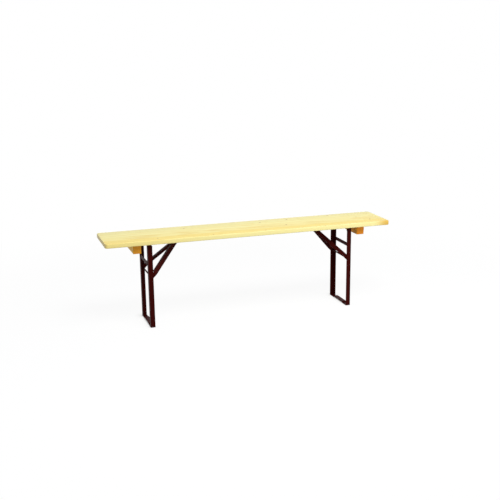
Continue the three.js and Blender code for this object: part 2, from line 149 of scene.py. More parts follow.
class LatchSizes(bpy.types.PropertyGroup):
    """Sizes of the pressed latch."""

    plate: length("Plate thickness", "Thickness of the latch's sheet steel", 0.002)
    corner: length("Plate corner", "Radius of the plate's corners", 0.006)
    tongue: length("Tongue length", "Length of the tongue towards the bench's middle", 0.026)
    tongue_width: length("Tongue width", "Width of the tongue", 0.009)
    tongue_corner: length("Tongue corner", "Radius of the tongue's corners", 0.003)
    outer_lobe: length("Outer lobe", "From the pocket to the middle of the leg's side lobe", 0.018)
    inner_lobe: length("Inner lobe", "From the pocket to the middle of the other lobe", 0.019)
    lobe_length: length("Lobe length", "Length of each raised lobe along the bench", 0.022)
    lobe_width: length("Lobe width", "Width of each raised lobe across the bench", 0.040)
    lobe_height: length("Lobe height", "Height of each raised lobe", 0.006)
    lobe_slope: length("Lobe slope", "Width of the slope round each lobe", 0.0055)
    cheek: length("Cheek thickness", "Thickness of each of the two cheeks", 0.0015)
    cheek_gap: length("Cheek gap", "From the middle plane to each cheek", 0.003)
    pocket: length("Pocket radius", "Radius of the pocket for the pin", 0.0052)
    hook_length: length("Hook length", "Reach of the hook towards the leg", 0.026)
    hook_depth: length("Hook depth", "Depth of the hook below the pocket's middle", 0.015)
    hook_chamfer: length("Hook chamfer", "Chamfer of the hook's lower corners", 0.006)
    lead_in: length("Lead-in", "How far the way in widens at the hook's tip", 0.0023)
    guard_length: length("Guard length", "Reach of the guard towards the middle", 0.030)
    guard_drop: length("Guard drop", "How far the guard's edge slopes down from the pocket", 0.005)
    guard_chamfer: length("Guard chamfer", "Chamfer of the guard's lower corner", 0.006)
    bolt_edge: length("Bolt edge", "Radius of the sliding bolt's edges", 0.0006)
    guide: length("Guide radius", "Radius of the bolt's guide rivet", 0.002)
    guide_head: length("Guide head", "Height of the guide rivet's domed heads", 0.0012)
    zinc_cloud: length("Zinc cloud", "Width of the dull patches in the zinc", 0.00769231)
    zinc_mark: lengths("Zinc mark", "Size of the handling marks in the zinc",
                       (0.00384615, 0.000384615, 0.00111111))


class ScrewSizes(bpy.types.PropertyGroup):
    """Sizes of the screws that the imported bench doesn't give."""

    head: length("Head height", "Height of each pan head", 0.0024)
    shank: length("Shank radius", "Radius of each shank", 0.0022)


class Finishes(bpy.types.PropertyGroup):
    """Colours of the bench."""

    end_grain: colour("End grain", "The board's wood across the grain", "#F0D89C")
    # Colour of the golden patches that fade out from their middles.
    golden_patch_wood: colour("Resin wood", "Golden wood that is full of resin", "#D4A840")
    early_wood: colour("Early wood", "Pale wood between the board's growth rings", "#F3ECA8")
    heart_wood: colour("Heart wood", "Golden wood of the board's front strips", "#F4DE84")
    late_wood: colour("Late wood", "Darker wood of the board's growth rings", "#EACC74")
    # The battens are pale pine like the board; their deeper orange colours below are painted shade
    # from the board above them.
    shaded_batten_early_wood: colour("Batten early wood", "Wood between the right one's rings", "#F0A820")
    shaded_batten_heart_wood: colour("Batten heart wood", "Wood between the left one's rings", "#F4C83A")
    shaded_batten_late_wood: colour("Batten late wood", "Darker wood of both battens' rings", "#D88C10")
    shaded_batten_end_grain: colour("Batten end grain", "The battens' wood across the grain", "#C46400")
    knot: colour("Knot", "Knots in the pine", "#8A4F1E")
    paint: colour("Paint", "Dark oxblood paint of the steel frames", "#350603")
    # Lighter along the edges: partly worn paint and partly a painted edge highlight.
    worn_and_highlit_paint: colour("Worn paint", "Paint worn thin along the edges", "#6A2A1E")
    zinc: colour("Zinc", "Bright zinc plate", "#C9CFD8")
    dull_zinc: colour("Dull zinc", "Zinc plate where it has dulled", "#9EA6B0")


# Surfaces

def skin(rings, caps=True):
    """Quads join each ring of points to the next, and with caps a flat face closes each end."""
    rings = np.asarray(rings)
    index = np.arange(rings.shape[0] * rings.shape[1]).reshape(rings.shape[:2])
    beside = np.roll(index, -1, axis=1)
    quads = np.stack([index[:-1], beside[:-1], beside[1:], index[1:]], axis=-1).reshape(-1, 4)
    ends = [index[0, ::-1].tolist(), index[-1].tolist()] if caps else []
    return rings.reshape(-1, 3), quads.tolist() + ends


def rounded_rectangle(size_x, size_y, radius, steps=10):
    """Four quarter circles, anticlockwise, each about its own corner's centre."""
    start = np.arange(4)[:, None] * np.pi / 2
    turn = start + np.linspace(0, np.pi / 2, steps + 1)
    signs = np.array([[1, 1], [-1, 1], [-1, -1], [1, -1]])
    centres = signs * (np.array([size_x, size_y]) / 2 - radius)
    arcs = centres[:, None] + radius * np.stack([np.cos(turn), np.sin(turn)], axis=-1)
    return arcs.reshape(-1, 2)


def inset(outline, distances):
    """The anticlockwise outline moved inwards by each distance, every corner along its mitre."""
    ahead = np.roll(outline, -1, axis=0) - outline
    ahead = ahead / np.linalg.norm(ahead, axis=1, keepdims=True)
    inward = np.stack([-ahead[:, 1], ahead[:, 0]], axis=1)
    inward_before = np.roll(inward, 1, axis=0)
    spread = 1 + (inward * inward_before).sum(axis=1, keepdims=True)
    mitre = (inward + inward_before) / spread
    return outline + np.asarray(distances)[:, None, None] * mitre


def divided(outline, spacing):
    """The closed outline with more points, which stand about the spacing apart."""
    ahead = np.roll(outline, -1, axis=0) - outline
    steps = np.maximum(1, (np.linalg.norm(ahead, axis=1) / spacing).astype(int))
    side = np.repeat(np.arange(len(outline)), steps)
    step = np.arange(len(side)) - np.repeat(np.cumsum(steps) - steps, steps)
    return outline[side] + ahead[side] * step[:, None] / steps[side, None]


def slab(outline, low, high, ease, steps=4):
    """A plate whose rim turns a quarter circle at each face: at angle t the outline is inset by
    ease (1 - sin t) and stands ease (1 - cos t) inside the face."""
    turn = np.linspace(0, np.pi / 2, steps + 1)
    depth = ease * (1 - np.cos(turn))
    insets = ease * (1 - np.sin(turn))
    heights = np.concatenate([low + depth, (high - depth)[::-1]])
    layers = inset(outline, np.concatenate([insets, insets[::-1]]))
    height_columns = np.broadcast_to(heights[:, None, None], (*layers.shape[:2], 1))
    return skin(np.concatenate([layers, height_columns], axis=-1))


def along_x(part):
    """Turns a slab whose outline was drawn in Y and Z so that its thickness runs along X."""
    points, faces = part
    return points[:, [2, 0, 1]], faces


def along_y(part):
    """Turns a slab whose outline was drawn in X and Z so that its thickness runs along Y."""
    points, faces = part
    return points[:, [0, 2, 1]], faces


def turned(profile, around=48):
    """A profile of radius and height carried round its axis: x = r cos t, y = r sin t, z = h."""
    profile = np.asarray(profile)
    turn = np.linspace(0, 2 * np.pi, around, endpoint=False)
    radius = profile[:, :1]
    height = np.broadcast_to(profile[:, 1:], (len(profile), around))
    rings = np.stack([radius * np.cos(turn), radius * np.sin(turn), height], axis=-1)
    return skin(rings, caps=False)


def moved(part, offset):
    """The part carried by the offset."""
    points, faces = part
    return points + np.asarray(offset), faces


def reflected(part, sign_x, sign_y=1):
    """The part on the other side of the bench's middle planes, where the signs say so."""
    points, faces = part
    return points * np.array([sign_x, sign_y, 1]), faces


def new_piece(name, parts, material, body, *nodes, slot):
    """One object of all the parts, doubles merged and faces outwards, that stands for the nodes."""
    starts = np.cumsum([0] + [len(points) for points, _ in parts[:-1]])
    points = np.concatenate([points for points, _ in parts])
    faces = [[start + corner for corner in face]
             for start, (_, part_faces) in zip(starts.tolist(), parts) for face in part_faces]
    mesh = bpy.data.meshes.new(name)
    mesh.from_pydata(points, [], faces)
    surface = bmesh.new()
    surface.from_mesh(mesh)
    bmesh.ops.remove_doubles(surface, verts=surface.verts, dist=1e-6)
    bmesh.ops.dissolve_degenerate(surface, edges=surface.edges, dist=1e-7)
    bmesh.ops.recalc_face_normals(surface, faces=surface.faces)
    surface.to_mesh(mesh)
    surface.free()
    mesh.shade_smooth()
    mesh.set_sharp_from_angle(angle=np.radians(40))
    mesh.materials.append(material)
    piece = bpy.data.objects.new(name, mesh)
    bpy.context.scene.collection.objects.link(piece)
    if nodes:
        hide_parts(*nodes)
    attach(piece, body)
    return piece


def finish_steel(node_name, material, edge):
    """A solid kept as it is, with its rolled edges eased and its own finish."""
    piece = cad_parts[node_name]
    piece.data.materials.clear()
    piece.data.materials.append(material)
    weld = piece.modifiers.new("Weld", "WELD")
    weld.merge_threshold = 1e-6
    flats = piece.modifiers.new("Flats", "DECIMATE")
    flats.decimate_type = "DISSOLVE"
    flats.angle_limit = np.radians(0.5)
    bevel = piece.modifiers.new("Edges", "BEVEL")
    bevel.width = edge
    bevel.segments = 2
    bevel.limit_method = "ANGLE"
    bevel.angle_limit = np.radians(40)
    bevel.harden_normals = True


# Materials

def add(tree, kind, inputs=None, **settings):
    """Adds a shader node of the kind with its settings. Each input is linked where it is a
    socket, or a node, which stands for its first output in use, or else set."""
    node = tree.nodes.new("ShaderNode" + kind)
    for key, value in settings.items():
        setattr(node, key, value)
    for key, value in (inputs or {}).items():
        if isinstance(value, bpy.types.Node):
            value = next(output for output in value.outputs if output.enabled)
        if isinstance(value, bpy.types.NodeSocket):
            tree.links.new(value, node.inputs[key])
        else:
            node.inputs[key].default_value = value
    return node


def cleared_tree(owner):
    """The empty node tree of a material or world."""
    owner.use_nodes = True
    owner.node_tree.nodes.clear()
    return owner.node_tree


def varnished_pine(name, grain_turn, bark_side, figure, golden_patch_middle, early_wood, heart_wood,
                   late_wood, end_grain, finishes):
    """Planed pine under clear satin varnish. The eye sees glued strips, paler at the back and
    golden at the front, growth rings drawn out into lines and long arches, fine fibres, a few
    small brown knots that the grain flows round, browner end grain, and a golden patch that
    fades out from a given middle."""
    tree = cleared_tree(bpy.data.materials.new(name))
    coordinates = add(tree, "TexCoord")
    grain = add(tree, "Mapping",
                {"Vector": coordinates.outputs["Object"], "Rotation": (0, 0, grain_turn)})
    axes = add(tree, "SeparateXYZ", {"Vector": grain})

    # Each glued strip has its own number, and its own place in the log
    across = add(tree, "Math", {0: axes.outputs["Y"], 1: figure.strip}, operation="DIVIDE")
    number = add(tree, "Math", {0: across}, operation="FLOOR")
    chance = add(tree, "TexWhiteNoise", {"W": number}, noise_dimensions="1D")
    least_offset = (0.0, 0.004, 0.045)
    offset_range = (3.0, 0.06, 0.04)
    log_place = add(tree, "VectorMath",
                    {0: chance.outputs["Color"], 1: offset_range, 2: least_offset},
                    operation="MULTIPLY_ADD")
    in_log = add(tree, "VectorMath", {0: grain, 1: log_place}, operation="ADD")

    # The saw cuts each strip a little across the trunk, which draws the rings out into arches
    steepest_cut = 0.022
    slope = add(tree, "MapRange",
                {"Value": chance.outputs["Value"],
                 "To Min": -steepest_cut, "To Max": steepest_cut})
    rise = add(tree, "Math", {0: axes.outputs["X"], 1: slope}, operation="MULTIPLY")

    # Knots are branches through the thickness, each of its own size
    knots = add(tree, "TexVoronoi",
                {"Vector": grain, "Scale": 1 / figure.knot_spacing, "Randomness": 0.8},
                voronoi_dimensions="2D")
    knot_chance = add(tree, "SeparateColor", {"Color": knots.outputs["Color"]})
    share_without_knot = 0.55
    on_branch = add(tree, "Math", {0: knot_chance.outputs["Red"], 1: share_without_knot},
                    operation="GREATER_THAN")
    upright = add(tree, "SeparateXYZ", {"Vector": coordinates.outputs["Normal"]})
    face = add(tree, "Math", {0: upright.outputs["Z"]}, operation="ABSOLUTE")
    on_face = add(tree, "Math", {0: face, 1: 0.9}, operation="GREATER_THAN")
    has_knot = add(tree, "Math", {0: on_branch, 1: on_face}, operation="MULTIPLY")
    from_knot = add(tree, "VectorMath",
                    {0: grain, 1: knots.outputs["Position"]}, operation="SUBTRACT")
    ragged = add(tree, "TexNoise",
                 {"Vector": grain, "Scale": 1 / figure.knot_notch, "Detail": 2.0})
    ragged_size = add(tree, "MapRange",
                      {"Value": ragged.outputs["Fac"], "To Min": 0.65, "To Max": 1.35})
    knot_size = add(tree, "MapRange",
                    {"Value": knot_chance.outputs["Green"],
                     "To Min": figure.small_knot, "To Max": figure.large_knot})
    knot_reach = add(tree, "Math", {0: knot_size, 1: ragged_size}, operation="MULTIPLY")
    flat = add(tree, "VectorMath", {0: from_knot, 1: (0.85, 1.0, 0.0)}, operation="MULTIPLY")
    flat_distance = add(tree, "VectorMath", {0: flat}, operation="LENGTH")
    knot_share = add(tree, "Math", {0: flat_distance, 1: knot_reach}, operation="DIVIDE")

    # The grain flows round a knot in a shape that is longer than it is wide
    drawn_out = add(tree, "VectorMath",
                    {0: from_knot, 1: (1 / figure.flow_length, 1 / figure.flow_width, 0.0)},
                    operation="MULTIPLY")
    flow_distance = add(tree, "VectorMath", {0: drawn_out}, operation="LENGTH")
    flow = add(tree, "MapRange",
               {"Value": flow_distance, "To Min": 1.0, "To Max": 0.0},
               interpolation_type="SMOOTHERSTEP")
    flow_here = add(tree, "Math", {0: flow, 1: has_knot}, operation="MULTIPLY")
    lifted = add(tree, "Math",
                 {0: flow_here, 1: figure.flow_lift, 2: rise}, operation="MULTIPLY_ADD")
    lift = add(tree, "CombineXYZ", {"Z": lifted})

    # Slow waves along the trunk, then rings round the pith: pale, darker, then pale at once
    slow = add(tree, "Mapping", {"Vector": in_log, "Scale": 1 / np.array(figure.wave)})
    sway = add(tree, "TexNoise", {"Vector": slow, "Scale": 1.0, "Detail": 4.0, "Roughness": 0.45})
    bent = add(tree, "VectorMath",
               {0: sway.outputs["Color"], 1: (0.0, figure.sway, figure.sway), 2: in_log},
               operation="MULTIPLY_ADD")
    round_pith = add(tree, "VectorMath", {0: bent, 1: lift}, operation="ADD")
    radians_per_unit = 20  # of the wave texture, at a scale of 1
    rings = add(tree, "TexWave",
                {"Vector": round_pith, "Scale": 2 * np.pi / (radians_per_unit * figure.ring)},
                wave_type="RINGS", rings_direction="X", wave_profile="SAW")
    growing = add(tree, "MapRange",
                  {"Value": rings.outputs["Fac"], "From Min": 0.30, "From Max": 0.86},
                  interpolation_type="SMOOTHSTEP")
    stopping = add(tree, "MapRange",
                   {"Value": rings.outputs["Fac"], "From Min": 1.0, "From Max": 0.88},
                   interpolation_type="SMOOTHSTEP")
    ring_tone = add(tree, "Math", {0: growing, 1: stopping}, operation="MINIMUM")

    # Real fibres are about 0.04 mm wide. These are drawn 0.56 mm wide, so that they show
    fibre_place = add(tree, "Mapping", {"Vector": in_log, "Scale": 1 / np.array(figure.fibre)})
    fibres = add(tree, "TexNoise",
                 {"Vector": fibre_place, "Scale": 1.0, "Detail": 1.0, "Roughness": 0.6})

    # The front strip, and of the battens the left one, is cut nearest the heart. A band of pale
    # sapwood runs along the bark side and widens along the grain, because the trunk tapers
    towards_heart = add(tree, "MapRange",
                        {"Value": number, "From Min": -2.0, "From Max": 1.0,
                         "To Min": 1.0, "To Max": 0.0})
    steeply = add(tree, "Math", {0: towards_heart, 1: 2.0}, operation="POWER")
    taper = 0.012
    from_bark = add(tree, "Math",
                    {0: axes.outputs["X"], 1: -taper, 2: axes.outputs["Y"]},
                    operation="MULTIPLY_ADD")
    inside_sapwood = add(tree, "MapRange",
                         {"Value": from_bark, "From Min": bark_side + figure.sapwood_start,
                          "From Max": bark_side + figure.sapwood_end,
                          "To Min": 0.1, "To Max": 1.0}, interpolation_type="SMOOTHSTEP")
    heart_share = add(tree, "Math", {0: steeply, 1: inside_sapwood}, operation="MULTIPLY")
    ground = add(tree, "Mix",
                 {"Factor": heart_share, "A": early_wood, "B": heart_wood}, data_type="RGBA")
    ring_strength = 0.55
    soft_rings = add(tree, "Math", {0: ring_tone, 1: ring_strength}, operation="MULTIPLY")
    wood = add(tree, "Mix", {"Factor": soft_rings, "A": ground, "B": late_wood}, data_type="RGBA")
    strip_tone = add(tree, "MapRange",
                     {"Value": chance.outputs["Value"], "To Min": 0.94, "To Max": 1.02})
    fibre_tone = add(tree, "MapRange",
                     {"Value": fibres.outputs["Fac"], "From Min": 0.3, "From Max": 0.7,
                      "To Min": 0.96, "To Max": 1.03})
    tone = add(tree, "Math", {0: strip_tone, 1: fibre_tone}, operation="MULTIPLY")
    toned = add(tree, "VectorMath", {0: wood, "Scale": tone}, operation="SCALE")

    # End grain shows where the surface faces along the grain
    facing = add(tree, "VectorMath",
                 {0: coordinates.outputs["Normal"],
                  1: (np.cos(grain_turn), np.sin(grain_turn), 0.0)}, operation="DOT_PRODUCT")
    facing_either_way = add(tree, "Math", {0: facing}, operation="ABSOLUTE")
    end_tone = add(tree, "MapRange",
                   {"Value": facing_either_way, "From Min": 0.35, "From Max": 1.0,
                    "To Min": 0.0, "To Max": 0.6}, interpolation_type="SMOOTHSTEP")
    sides_and_ends = add(tree, "Mix",
                         {"Factor": end_tone, "A": toned, "B": end_grain}, data_type="RGBA")

    # A golden patch fades out from its middle
    from_golden_patch = add(tree, "VectorMath",
                     {0: coordinates.outputs["Object"], 1: golden_patch_middle}, operation="SUBTRACT")
    golden_patch_shape = add(tree, "VectorMath",
                      {0: from_golden_patch, 1: (1 / figure.golden_patch_length, 1 / figure.golden_patch_width, 0.0)},
                      operation="MULTIPLY")
    golden_patch_distance = add(tree, "VectorMath", {0: golden_patch_shape}, operation="LENGTH")
    golden_patch_share = add(tree, "MapRange",
                      {"Value": golden_patch_distance, "From Min": 0.0, "From Max": 1.1,
                       "To Min": 0.9, "To Max": 0.0}, interpolation_type="SMOOTHSTEP")
    with_golden_patch = add(tree, "Mix",
                   {"Factor": golden_patch_share, "A": sides_and_ends, "B": finishes.golden_patch_wood},
                   data_type="RGBA")

    # A knot has a dark rim and stains the wood beside it
    stain = add(tree, "MapRange",
                {"Value": knot_share, "From Min": 0.9, "From Max": 2.6,
                 "To Min": 0.45, "To Max": 0.0}, interpolation_type="SMOOTHSTEP")
    stain_here = add(tree, "Math", {0: stain, 1: has_knot}, operation="MULTIPLY")
    stained = add(tree, "Mix",
                  {"Factor": stain_here, "A": with_golden_patch, "B": end_grain}, data_type="RGBA")
    core = add(tree, "MapRange",
               {"Value": knot_share, "From Min": 0.85, "From Max": 1.15,
                "To Min": 0.9, "To Max": 0.0}, interpolation_type="SMOOTHSTEP")
    core_here = add(tree, "Math", {0: core, 1: has_knot}, operation="MULTIPLY")
    rim = add(tree, "MapRange",
              {"Value": knot_share, "From Min": 0.4, "From Max": 0.9,
               "To Min": 1.25, "To Max": 0.55}, interpolation_type="SMOOTHSTEP")
    knot_tone = add(tree, "VectorMath", {0: finishes.knot[:3], "Scale": rim}, operation="SCALE")
    finished = add(tree, "Mix",
                   {"Factor": core_here, "A": stained, "B": knot_tone}, data_type="RGBA")

    relief = add(tree, "Math", {0: fibres.outputs["Fac"], 1: ring_tone}, operation="ADD")
    bump = add(tree, "Bump", {"Height": relief, "Strength": 0.12, "Distance": 0.0004})
    roughness = add(tree, "MapRange",
                    {"Value": fibres.outputs["Fac"], "To Min": 0.42, "To Max": 0.55})
    shader = add(tree, "BsdfPrincipled",
                 {"Base Color": finished, "Roughness": roughness, "IOR": 1.5,
                  "Specular IOR Level": 0.22, "Normal": bump})
    add(tree, "OutputMaterial", {"Surface": shader})


def satin_paint(sizes, finishes):
    """Dark oxblood air-drying enamel sprayed on hot-rolled steel. The eye sees a satin dark red
    brown with a faint orange peel, lighter along the edges: partly paint worn thin there and
    partly a painted edge highlight."""
    tree = cleared_tree(bpy.data.materials.new("oxblood_enamel"))
    place = add(tree, "TexCoord").outputs["Object"]
    clouds = add(tree, "TexNoise",
                 {"Vector": place, "Scale": 1 / sizes.paint_cloud, "Detail": 3.0})
    peel = add(tree, "TexNoise", {"Vector": place, "Scale": 1 / sizes.orange_peel, "Detail": 1.0})
    rolled = add(tree, "TexNoise",
                 {"Vector": place, "Scale": 1 / sizes.rolling_mark, "Detail": 4.0})

    # An edge is where the rounded normal leaves the true one
    rounded = add(tree, "Bevel", {"Radius": sizes.worn_and_highlit_edge}, samples=4)
    true_normal = add(tree, "NewGeometry")
    agree = add(tree, "VectorMath",
                {0: rounded, 1: true_normal.outputs["Normal"]}, operation="DOT_PRODUCT")
    edge = add(tree, "MapRange",
               {"Value": agree, "From Min": 0.97, "From Max": 0.80, "To Min": 0.0, "To Max": 0.55})
    broken = add(tree, "MapRange",
                 {"Value": rolled.outputs["Fac"], "From Min": 0.42, "From Max": 0.62})
    # The lighter edge colour is partly worn paint and partly a painted highlight on the edges.
    wear_and_highlight = add(tree, "Math", {0: edge, 1: broken}, operation="MULTIPLY")

    tone = add(tree, "MapRange", {"Value": clouds.outputs["Fac"], "To Min": 0.8, "To Max": 1.2})
    toned = add(tree, "VectorMath", {0: finishes.paint[:3], "Scale": tone}, operation="SCALE")
    worn_and_highlit = add(tree, "Mix",
               {"Factor": wear_and_highlight, "A": toned, "B": finishes.worn_and_highlit_paint}, data_type="RGBA")
    relief = add(tree, "Math", {0: peel.outputs["Fac"], 1: rolled.outputs["Fac"]}, operation="ADD")
    bump = add(tree, "Bump", {"Height": relief, "Strength": 0.25, "Distance": 0.0002})
    roughness = add(tree, "MapRange",
                    {"Value": clouds.outputs["Fac"], "To Min": 0.36, "To Max": 0.54})
    shader = add(tree, "BsdfPrincipled",
                 {"Base Color": worn_and_highlit, "Roughness": roughness, "IOR": 1.45,
                  "Specular IOR Level": 0.04, "Normal": bump})
    add(tree, "OutputMaterial", {"Surface": shader})


def zinc_plate(name, sizes, finishes, low_roughness, high_roughness):
    """Electroplated zinc on pressed or turned steel. The eye sees a bright bluish grey metal with
    soft cloudy patches and fine handling marks."""
    tree = cleared_tree(bpy.data.materials.new(name))
    place = add(tree, "TexCoord").outputs["Object"]
    clouds = add(tree, "TexNoise", {"Vector": place, "Scale": 1 / sizes.zinc_cloud, "Detail": 4.0})
    marks_place = add(tree, "Mapping", {"Vector": place, "Scale": 1 / np.array(sizes.zinc_mark)})
    marks = add(tree, "TexNoise", {"Vector": marks_place, "Scale": 1.0, "Detail": 2.0})
    patch = add(tree, "MapRange",
                {"Value": clouds.outputs["Fac"], "From Min": 0.4, "From Max": 0.68})
    plate = add(tree, "Mix",
                {"Factor": patch, "A": finishes.zinc, "B": finishes.dull_zinc}, data_type="RGBA")
    roughness = add(tree, "MapRange",
                    {"Value": clouds.outputs["Fac"], "From Min": 0.3, "From Max": 0.7,
                     "To Min": low_roughness, "To Max": high_roughness})
    bump = add(tree, "Bump",
               {"Height": marks.outputs["Fac"], "Strength": 0.12, "Distance": 0.0001})
    shader = add(tree, "BsdfPrincipled",
                 {"Base Color": plate, "Metallic": 1.0, "Roughness": roughness, "Normal": bump})
    add(tree, "OutputMaterial", {"Surface": shader})


class BENCH_OT_materials(bpy.types.Operator):
    """Makes the pine, paint and zinc that the other steps use."""

    bl_idname = "bench.materials"
    bl_label = "Make Materials"

    def execute(self, context):
        scene = context.scene
        figure = scene.bench_pine
        finishes = scene.bench_finishes
        along_bench, across_bench = 0.0, np.pi / 2
        varnished_pine("varnished_pine_board", along_bench, board_low[1], figure, figure.golden_patch,
                       finishes.early_wood, finishes.heart_wood, finishes.late_wood,
                       finishes.end_grain, finishes)
        # The battens' pine is darkened to orange here as painted shade from the board over them.
        varnished_pine("varnished_pine_batten_painted_shade", across_bench, board_low[0], figure,
                       figure.batten_golden_patch, finishes.shaded_batten_early_wood,
                       finishes.shaded_batten_heart_wood, finishes.shaded_batten_late_wood,
                       finishes.shaded_batten_end_grain, finishes)
        satin_paint(scene.bench_steel, finishes)
        zinc_plate("zinc_plated_sheet", scene.bench_latch, finishes,
                   low_roughness=0.16, high_roughness=0.30)
        zinc_plate("zinc_plated_screw", scene.bench_latch, finishes,
                   low_roughness=0.24, high_roughness=0.40)
        return {"FINISHED"}


# Pine pieces

class BENCH_OT_seat(bpy.types.Operator):
    """Makes the seat board and the two battens under it."""

    bl_idname = "bench.seat"
    bl_label = "Make Seat"

    def execute(self, context):
        sizes = context.scene.bench_seat
        size = board_high - board_low
        outline = rounded_rectangle(size[0], size[1], sizes.corner, steps=14)
        board = slab(outline, board_low[2], board_high[2], sizes.board_edge, steps=6)
        new_piece("pine_seat_board", [board], bpy.data.materials["varnished_pine_board"], "seat",
                  "seat_board", slot="pine_board")

        low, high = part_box("right_batten")
        bottom_half = high[1] - sizes.batten_bevel
        section = np.array([[-bottom_half, low[2]], [bottom_half, low[2]],
                            [high[1], high[2]], [low[1], high[2]]])
        batten = along_x(slab(section, low[0], high[0], sizes.batten_edge))
        # Their pine carries painted shade: it is darkened to orange for the board above.
        for side, sign in SIDES.items():
            new_piece(f"{side}_pine_batten", [reflected(batten, sign)],
                      bpy.data.materials["varnished_pine_batten_painted_shade"], "seat", f"{side}_batten",
                      slot="pine_batten")
        return {"FINISHED"}


# Steel pieces

def pin_along_y(node_name, radius, head_height):
    """A round bar with a domed head at each end: a head's radius at height h above its seat is
    R sqrt(1 - (h / H)^2)."""
    low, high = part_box(node_name)
    head = (high[0] - low[0]) / 2
    rim_angle = 0.15
    rise = np.linspace(np.pi / 2, rim_angle, 8)
    dome = np.stack([head * np.cos(rise), head_height * np.sin(rise)], axis=1)
    seat = high[1] - head_height
    start = low[1] + head_height
    lower = np.column_stack([dome[:, 0], start - dome[:, 1]])
    upper = np.column_stack([dome[::-1, 0], seat + dome[::-1, 1]])
    bar = [[head, start], [radius, start], [radius, seat], [head, seat]]
    points, faces = turned(np.concatenate([lower, bar, upper]), 40)
    centre = ((low[0] + high[0]) / 2, 0, (low[2] + high[2]) / 2)
    return points[:, [0, 2, 1]] + centre, faces


def weld_bead(start, end, radius, pitch):
    """A bead along a line: its radius is r (0.86 + 0.14 |sin(pi s / p)|) at distance s, and it
    closes to nothing at both ends."""
    start = np.asarray(start, dtype=float)
    line = np.asarray(end, dtype=float) - start
    reach = np.linalg.norm(line)
    direction = line / reach
    side = np.cross(direction, [0.0, 0.0, 1.0] if abs(direction[2]) < 0.9 else [1.0, 0.0, 0.0])
    side = side / np.linalg.norm(side)
    up = np.cross(direction, side)
    rings_per_ripple = 6
    along = np.linspace(0, reach, max(8, int(reach / pitch * rings_per_ripple)))
    closing = np.clip(np.minimum(along, reach - along) / radius, 0, 1)
    ripple = 0.86 + 0.14 * np.abs(np.sin(np.pi * along / pitch))
    size = radius * ripple * np.sqrt(1 - (1 - closing) ** 2)
    turn = np.linspace(0, 2 * np.pi, 12, endpoint=False)
    around = np.cos(turn)[:, None] * side + np.sin(turn)[:, None] * up
    return skin(start + along[:, None, None] * direction + size[:, None, None] * around, caps=False)


class BENCH_OT_leg_frames(bpy.types.Operator):
    """Finishes the two leg frames and adds their welds."""

    bl_idname = "bench.leg_frames"
    bl_label = "Finish Leg Frames"

    def execute(self, context):
        sizes = context.scene.bench_steel
        paint = bpy.data.materials["oxblood_enamel"]
        rail_low, rail_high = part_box("right_back_rail")
        cross_low, cross_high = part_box("right_cross_bar")
        joint_y, joint_z = cross_high[1], rail_low[2]
        web_y = rail_high[1] - sizes.angle
        flange_x = rail_high[0] - sizes.angle
        seams = [
            ((cross_high[0], joint_y, cross_low[2]), (cross_high[0], joint_y, cross_high[2])),
            ((cross_low[0], joint_y, cross_low[2]), (cross_low[0], joint_y, cross_high[2])),
            ((rail_low[0], web_y, joint_z), (flange_x, web_y, joint_z)),
            ((flange_x, rail_low[1], joint_z), (flange_x, web_y, joint_z)),
        ]
        beads = [weld_bead(start, end, sizes.weld, sizes.weld_pitch) for start, end in seams]
        for side, sign in SIDES.items():
            for piece in ("front_rail", "back_rail", "foot_bar", "cross_bar"):
                finish_steel(f"{side}_{piece}", paint, sizes.edge)
            both = [reflected(bead, sign, half) for bead in beads for half in HALVES.values()]
            new_piece(f"{side}_frame_welds", both, paint, f"{side}_leg", slot="painted_steel")
        return {"FINISHED"}


class BENCH_OT_braces(bpy.types.Operator):
    """Finishes the brace arms and makes their rods and apex pins."""

    bl_idname = "bench.braces"
    bl_label = "Finish Braces"

    def execute(self, context):
        sizes = context.scene.bench_steel
        paint = bpy.data.materials["oxblood_enamel"]
        for side in SIDES:
            for half in HALVES:
                finish_steel(f"{side}_brace_{half}_arm", paint, sizes.edge)
            rod = pin_along_y(f"{side}_brace_rod", sizes.pin, sizes.pin_head)
            new_piece(f"{side}_round_brace_rod", [rod], paint, f"{side}_leg", f"{side}_brace_rod",
                      slot="painted_steel")
            apex_pin = pin_along_y(f"{side}_apex_pin", sizes.pin, sizes.pin_head)
            new_piece(f"{side}_round_apex_pin", [apex_pin], paint, f"{side}_brace",
                      f"{side}_apex_pin", slot="painted_steel")
        return {"FINISHED"}


class BENCH_OT_hinges(bpy.types.Operator):
    """Finishes the hinge brackets and makes their rivets."""

    bl_idname = "bench.hinges"
    bl_label = "Finish Hinges"

    def execute(self, context):
        sizes = context.scene.bench_steel
        paint = bpy.data.materials["oxblood_enamel"]
        for side in SIDES:
            finish_steel(f"{side}_hinge_bracket", paint, sizes.edge)
            for half in HALVES:
                node = f"{side}_{half}_hinge_rivet"
                rivet = pin_along_y(node, sizes.pin, sizes.pin_head)
                new_piece(f"{node}_domed", [rivet], paint, "seat", node, slot="painted_steel")
        return {"FINISHED"}


# Latch

def smooth_step(share):
    """Climbs from 0 to 1 as 3 s^2 - 2 s^3."""
    share = np.clip(share, 0, 1)
    return share * share * (3 - 2 * share)


def lobe_rise(points, middle_x, sizes):
    """A lobe's height over points of the plate: the distance inside its rounded outline, divided by
    the slope's width and eased at both ends, and a crown that falls off towards the rim."""
    radius = sizes.corner
    half = np.array([sizes.lobe_length, sizes.lobe_width]) / 2
    local = points - np.array([middle_x, 0])
    beyond = np.abs(local) - (half - radius)
    outside = np.linalg.norm(np.maximum(beyond, 0), axis=-1)
    inside = radius - outside - np.minimum(beyond.max(axis=-1), 0)
    share = np.clip(local / half, -1, 1)
    crown = (1 - share[..., 0] ** 2) * (1 - share[..., 1] ** 2)
    return sizes.lobe_height * smooth_step(inside / sizes.lobe_slope) * (0.82 + 0.18 * crown)


